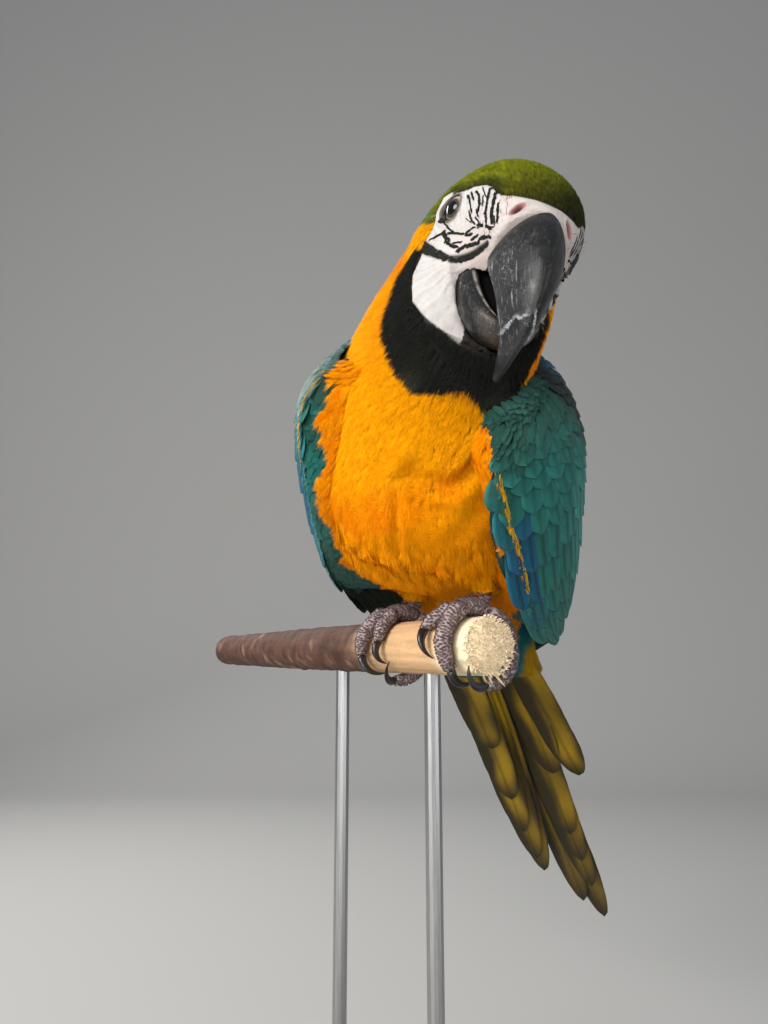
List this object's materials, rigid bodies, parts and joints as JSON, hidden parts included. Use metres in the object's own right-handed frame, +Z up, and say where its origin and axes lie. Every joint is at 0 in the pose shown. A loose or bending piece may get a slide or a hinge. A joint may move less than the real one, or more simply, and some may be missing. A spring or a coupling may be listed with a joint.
{
  "type": "blue-and-gold macaw",
  "caption": "Still model of a macaw leaning forward on a short perch, with a hooked bill, folded wings and a long tail, held over a round base by thin rods.",
  "frame": {"origin": "middle of the underside of the round base, on the floor", "axes": "+Z up, out of the base; the bird's bill points along -Y; its left side is at +X; its tail runs back and down towards +Y and +X"},
  "size_m": [0.3829, 0.5685, 0.5781],
  "materials": {
    "plumage_gold": "matt golden-orange feathers",
    "plumage_teal": "satin teal-green feathers with yellow edges",
    "plumage_blue": "satin blue and olive feathers",
    "face_skin": "pale, bare, creased skin",
    "bill_horn": "scratched black horn",
    "eye": "wet pale yellow eye with a black pupil",
    "foot_scales": "dark scaly skin with pale scale edges",
    "claw_horn": "dark satin horn",
    "branch_wood": "weathered reddish-brown branch",
    "stand_wood": "dark stained satin wood",
    "stand_metal": "dull brushed steel"
  },
  "bodies": {
    "root": {"bill_lower": "bill_horn", "bill_upper": "bill_horn", "claw_left_back_inner": "claw_horn", "claw_left_back_outer": "claw_horn", "claw_left_front_inner": "claw_horn", "claw_left_front_outer": "claw_horn", "claw_right_back_inner": "claw_horn", "claw_right_back_outer": "claw_horn", "claw_right_front_inner": "claw_horn", "claw_right_front_outer": "claw_horn", "eye_left": "eye", "eye_right": "eye", "foot_left": "foot_scales", "foot_right": "foot_scales", "head": "face_skin", "neck": "plumage_gold", "perch": "branch_wood", "stand_base": "stand_wood", "stand_collar_1": "stand_metal", "stand_collar_2": "stand_metal", "stand_rod_1": "stand_metal", "stand_rod_2": "stand_metal", "tail_coverts": "plumage_blue", "tail_left_1": "plumage_blue", "tail_left_2": "plumage_blue", "tail_left_3": "plumage_blue", "tail_left_4": "plumage_blue", "tail_left_5": "plumage_blue", "tail_left_6": "plumage_blue", "tail_right_1": "plumage_blue", "tail_right_2": "plumage_blue", "tail_right_3": "plumage_blue", "tail_right_4": "plumage_blue", "tail_right_5": "plumage_blue", "tail_right_6": "plumage_blue", "thigh_left": "plumage_gold", "thigh_right": "plumage_gold", "toe_left_back_inner": "foot_scales", "toe_left_back_outer": "foot_scales", "toe_left_front_inner": "foot_scales", "toe_left_front_outer": "foot_scales", "toe_right_back_inner": "foot_scales", "toe_right_back_outer": "foot_scales", "toe_right_front_inner": "foot_scales", "toe_right_front_outer": "foot_scales", "trunk": "plumage_gold", "wing_left": "plumage_teal", "wing_left_flight": "plumage_teal", "wing_right": "plumage_teal", "wing_right_flight": "plumage_teal"}
  },
  "joints": []
}
